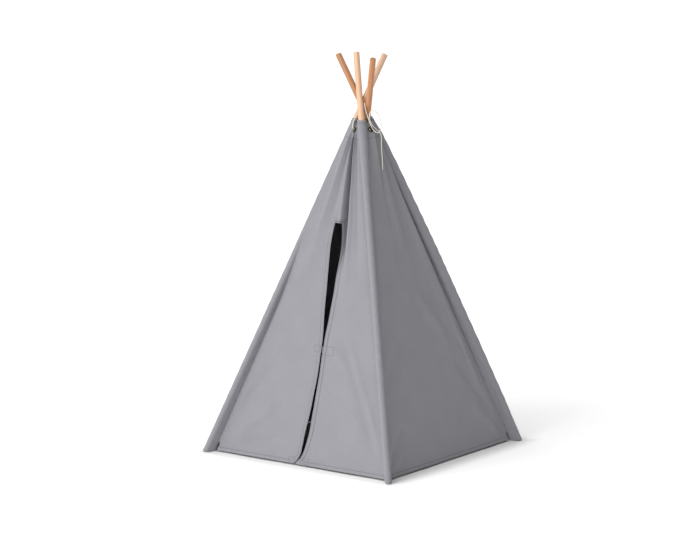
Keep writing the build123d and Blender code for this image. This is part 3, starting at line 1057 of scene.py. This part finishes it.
def door_patch(name, x_range, z_range, depth, thickness, material, columns=28, rows=14):
    """Rounded patch of cloth or tape that follows the inside of the door panel."""
    x_low, x_high = x_range
    z_low, z_high = z_range
    x, z = np.meshgrid(np.linspace(x_low, x_high, columns), np.linspace(z_low, z_high, rows))
    past_x = np.clip(np.maximum(x_low + PATCH_CORNER - x, x - x_high + PATCH_CORNER), 0, None)
    past_z = np.clip(np.maximum(z_low + PATCH_CORNER - z, z - z_high + PATCH_CORNER), 0, None)
    pull = 0.12 * past_x * past_z / PATCH_CORNER
    middle_x = (x_low + x_high) / 2
    middle_z = (z_low + z_high) / 2
    x = x + (middle_x - x) * pull / abs(x_high - middle_x)
    z = z + (middle_z - z) * pull / abs(z_high - middle_z)
    share = door_share(x, z)
    normals = cloth_normal("door", share, z)
    middle = cloth_point("door", share, z) - normals * (depth + thickness / 2)
    coords = flat_coords("door", share, z)
    return shell(name, middle, normals, thickness, coords, all_cells(rows, columns), material)


def stitched_box(name, body, x_range, z_range):
    """Rectangle of stitches on the outer face where a closure is sewn on."""
    x_low, x_high = x_range
    z_low, z_high = z_range
    reach = np.linspace(0, 4, 97)
    x = np.interp(reach, range(5), (x_low, x_high, x_high, x_low, x_low))
    z = np.interp(reach, range(5), (z_low, z_low, z_high, z_high, z_low))
    sew(name, *panel_line("door", door_share(x, z), z), body=body)


def make_closures():
    """Hook and loop closures across the slit, behind the cloth, and the stitching of each."""
    layers = (
        ("loop_tape", "loop_patch", "right_flap", (LOOP_DEPTH, TAPE, LOOP_TAPE)),
        ("hook_tape", "hook_patch", "left_flap", (HOOK_DEPTH, TAPE, HOOK_TAPE)),
        ("tab", "closure_tab", "left_flap", (TAB_DEPTH, TAB, CANVAS, 36, 16)),
    )
    for place_name in ("middle", "lower"):
        for kind, node, flap, make in layers:
            low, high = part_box(f"{place_name}_{node}")
            across = (low.x, high.x)
            upwards = (low.z + PATCH_INSET, high.z - PATCH_INSET)
            patch = door_patch(f"{place_name}_{kind}", across, upwards, *make)
            slot = "canvas" if kind == "tab" else "closure_tape"
            place(patch, slot, body=flap, replaces=[f"{place_name}_{node}"])
    for name, box in BOXES.items():
        stitched_box(name, *box)


# ---- tie cord ----
CORD_DIAMETER = 0.0024
CORD_STEP = 0.0008          # spacing of the rings along a strand
CORD_LAY = 0.0075           # length in which a strand goes round once
STRAND = 0.31 * CORD_DIAMETER
STRAND_SIDES = 8
CORD_ROUTE = [
    (0.0550, 0.0057, 0.7145),
    (0.0510, 0.0102, 0.7385),
    (0.0460, 0.0137, 0.7625),
    (0.0418, 0.0183, 0.7847),
    (0.0402, 0.0202, 0.8014),
    (0.0326, 0.0074, 0.8142),
    (0.0251, -0.0024, 0.8274),
    (0.0211, -0.0041, 0.8432),
    (0.0203, -0.0026, 0.8535),
    (0.0232, 0.0026, 0.8618),
    (0.0290, 0.0096, 0.8606),
    (0.0352, 0.0146, 0.8505),
    (0.0402, 0.0183, 0.8379),
    (0.0417, 0.0183, 0.8180),
    (0.0406, 0.0104, 0.8024),
    (0.0338, -0.0034, 0.8112),
    (0.0282, -0.0077, 0.8255),
    (0.0205, -0.0073, 0.8410),
    (0.0101, -0.0023, 0.8552),
    (0.0078, -0.0030, 0.8650),
    (0.0062, -0.0024, 0.8715),
    (0.0044, -0.0010, 0.8763),
    (0.0020, 0.0012, 0.8783),
    (-0.0003, 0.0034, 0.8763),
    (-0.0016, 0.0046, 0.8705),
    (-0.0030, 0.0036, 0.8635),
    (-0.0066, -0.0010, 0.8570),
    (-0.0103, -0.0083, 0.8510),
    (-0.0125, -0.0160, 0.8440),
    (-0.0130, -0.0225, 0.8360),
    (-0.0125, -0.0305, 0.8190),
    (-0.0105, -0.0230, 0.8120),
    (-0.0075, -0.0120, 0.8088),
]


def cord_line():
    """The cord's centreline: a NURBS spline with the route as its control points."""
    curve = bpy.data.curves.new("cord_route", "CURVE")
    curve.dimensions = "3D"
    curve.resolution_u = 12
    spline = curve.splines.new("NURBS")
    spline.points.add(len(CORD_ROUTE) - 1)
    for point, position in zip(spline.points, CORD_ROUTE):
        point.co = (*position, 1)
    spline.order_u = 3
    spline.use_endpoint_u = True
    holder = add_object("cord_route", curve)
    bpy.context.view_layer.update()
    mesh = bpy.data.meshes.new_from_object(holder)
    points = np.array([vertex.co for vertex in mesh.vertices])
    bpy.data.objects.remove(holder)
    bpy.data.meshes.remove(mesh)
    return points


def resample(points, spacing):
    """Even points along a line, and the line's length."""
    reach = reach_along(points)
    places = np.linspace(0, reach[-1], int(reach[-1] / spacing) + 1)
    return values_at(places, reach, points), reach[-1]


def line_frames(points):
    """Two cross directions at each point, turned as little as possible along the line."""
    tangents = unit(np.gradient(points, axis=0))
    first = unit(np.cross(tangents[0], np.array([0.3, 0.2, 0.9])))
    sides = [first]
    for tangent in tangents[1:]:
        side = sides[-1] - tangent * (sides[-1] @ tangent)
        sides.append(unit(side))
    sides = np.array(sides)
    return sides, np.cross(tangents, sides)


def make_cord():
    """Three strands laid round the cord's centreline."""
    line, length = resample(cord_line(), CORD_STEP)
    sides, others = line_frames(line)
    points = []
    faces = []
    for number in range(3):
        angle = 2 * math.pi * (np.arange(len(line)) * CORD_STEP / CORD_LAY + number / 3)
        spiral = sides * np.cos(angle)[:, None] + others * np.sin(angle)[:, None]
        middle = line + spiral * (CORD_DIAMETER / 2 - STRAND)
        start = len(points)
        for centre, side, other in zip(middle, *line_frames(middle)):
            for step in range(STRAND_SIDES):
                turn = 2 * math.pi * step / STRAND_SIDES
                points.append(centre + (side * math.cos(turn) + other * math.sin(turn)) * STRAND)
        end = len(points) - STRAND_SIDES
        for first in range(start, end, STRAND_SIDES):
            faces += band(first, first + STRAND_SIDES, STRAND_SIDES)
        faces.append(tuple(range(start, start + STRAND_SIDES))[::-1])
        faces.append(tuple(range(end, end + STRAND_SIDES)))
    cord = make_mesh("tie_cord_strands", points, faces, CORD_MATERIAL)
    place(cord, "cotton_cord", replaces=["tie_cord"])


# ---- poles ----
def finish_poles():
    for corner in CORNERS:
        pole = frame["nodes"]["pole_" + corner]
        material = wood_material("dowel_wood_" + corner, corner, *WOODS[corner])
        pole.data.materials.clear()
        pole.data.materials.append(material)


# ---- floor, light and camera ----
SOFT_LIGHT_FROM = (-0.35, -0.82, 0.45)
SOFT_LIGHT_LOW = 0.36
SOFT_LIGHT_HIGH = 1.55
SUN_FROM = (-0.30, -0.80, 0.45)
SUN_STRENGTH = 0.95
SUN_WIDTH = 38              # degrees; wide, so that its shadows are soft
LAMP_PLACE = (0.12, -1.25, 0.80)
LAMP_AIM = (0.10, -0.22, 0.40)
LAMP_SIZE = 0.6
LAMP_POWER = 2.2
FLOOR_HALF = 40.0
FLOOR_GREY = 0.86
PAINTED_FLOOR_LIGHT = 0.30           # painted light: the floor round the tent glows, which brightens the tent's cast shadow there
# distances from the middle over which the floor's painted light fades in
PAINTED_LIGHT_FROM = 0.285
PAINTED_LIGHT_TO = 0.330
CAMERA_PLACE = (6.559, -8.981, 2.679)
CAMERA_HEADING = 36.314
CAMERA_DIP = 11.379
CAMERA_LENS = 232.6
WHITE = (1.0, 1.0, 1.0, 1)


def make_stage():
    """White floor; outside the tent's square it glows a little, painted light that brightens the tent's cast
    shadow.
    """
    recipe = Recipe("pale_floor", 0.9)
    recipe.set("Base Color", (FLOOR_GREY, FLOOR_GREY, FLOOR_GREY, 1))
    recipe.set("Specular IOR Level", 0.1)
    recipe.set("Emission Color", WHITE)
    apart = recipe.add("ShaderNodeSeparateXYZ", Vector=recipe.place()).outputs
    reach = recipe.math("MAXIMUM", recipe.math("ABSOLUTE", apart["X"]), recipe.math("ABSOLUTE", apart["Y"]))
    # Painted light: emission that fades in outside the tent's square, so the floor lights its own shadow.
    recipe.set("Emission Strength", recipe.remap(reach, PAINTED_LIGHT_FROM, PAINTED_LIGHT_TO, 0.0, PAINTED_FLOOR_LIGHT))
    corners = [(x * FLOOR_HALF, y * FLOOR_HALF, 0) for x, y in ((-1, -1), (1, -1), (1, 1), (-1, 1))]
    mesh = bpy.data.meshes.new("floor")
    mesh.from_pydata(corners, [], [(0, 1, 2, 3)])
    mesh.materials.append(recipe.material)
    add_object("floor", mesh)


def make_lights():
    """White studio: the surround is brightest towards the left front, and a soft sun adds to it."""
    world = bpy.data.worlds.new("studio")
    bpy.context.scene.world = world
    world.use_nodes = True
    tree = world.node_tree
    direction = add_node(tree, "ShaderNodeTexCoord").outputs["Generated"]
    towards = add_node(tree, "ShaderNodeVectorMath", {"operation": "DOT_PRODUCT"}, i0=direction,
                       i1=SOFT_LIGHT_FROM)
    strength = add_node(tree, "ShaderNodeMapRange", Value=towards.outputs["Value"], i1=0.0, i2=1.0,
                        i3=SOFT_LIGHT_LOW, i4=SOFT_LIGHT_HIGH)
    background = tree.nodes["Background"]
    background.inputs["Color"].default_value = WHITE
    tree.links.new(strength.outputs["Result"], background.inputs["Strength"])
    sun = bpy.data.lights.new("sun", "SUN")
    sun.energy = SUN_STRENGTH
    sun.angle = math.radians(SUN_WIDTH)
    holder = add_object("sun", sun)
    holder.rotation_euler = (-Vector(SUN_FROM)).to_track_quat("-Z", "Y").to_euler()
    lamp = bpy.data.lights.new("lamp", "AREA")
    lamp.energy = LAMP_POWER
    lamp.size = LAMP_SIZE
    holder = add_object("lamp", lamp)
    holder.location = LAMP_PLACE
    holder.rotation_euler = (Vector(LAMP_AIM) - Vector(LAMP_PLACE)).to_track_quat("-Z", "Y").to_euler()
    bpy.context.scene.view_settings.view_transform = "Standard"


def make_camera():
    camera = bpy.data.cameras.new("camera")
    camera.sensor_width = 36.0
    camera.lens = CAMERA_LENS
    holder = add_object("camera", camera)
    holder.location = CAMERA_PLACE
    holder.rotation_euler = (math.radians(90 - CAMERA_DIP), 0, math.radians(CAMERA_HEADING))
    bpy.context.scene.camera = holder


# ---- build ----
make_camera()
make_lights()
make_stage()
finish_poles()
make_cord()
make_door()
for panel in ("right_side", "back", "left_side"):
    make_side_panel(panel)
make_panel_stitches()
make_slit_stitches()
make_facings()
for corner in CORNERS:
    make_sleeve(corner)
make_eyelets()
make_closures()
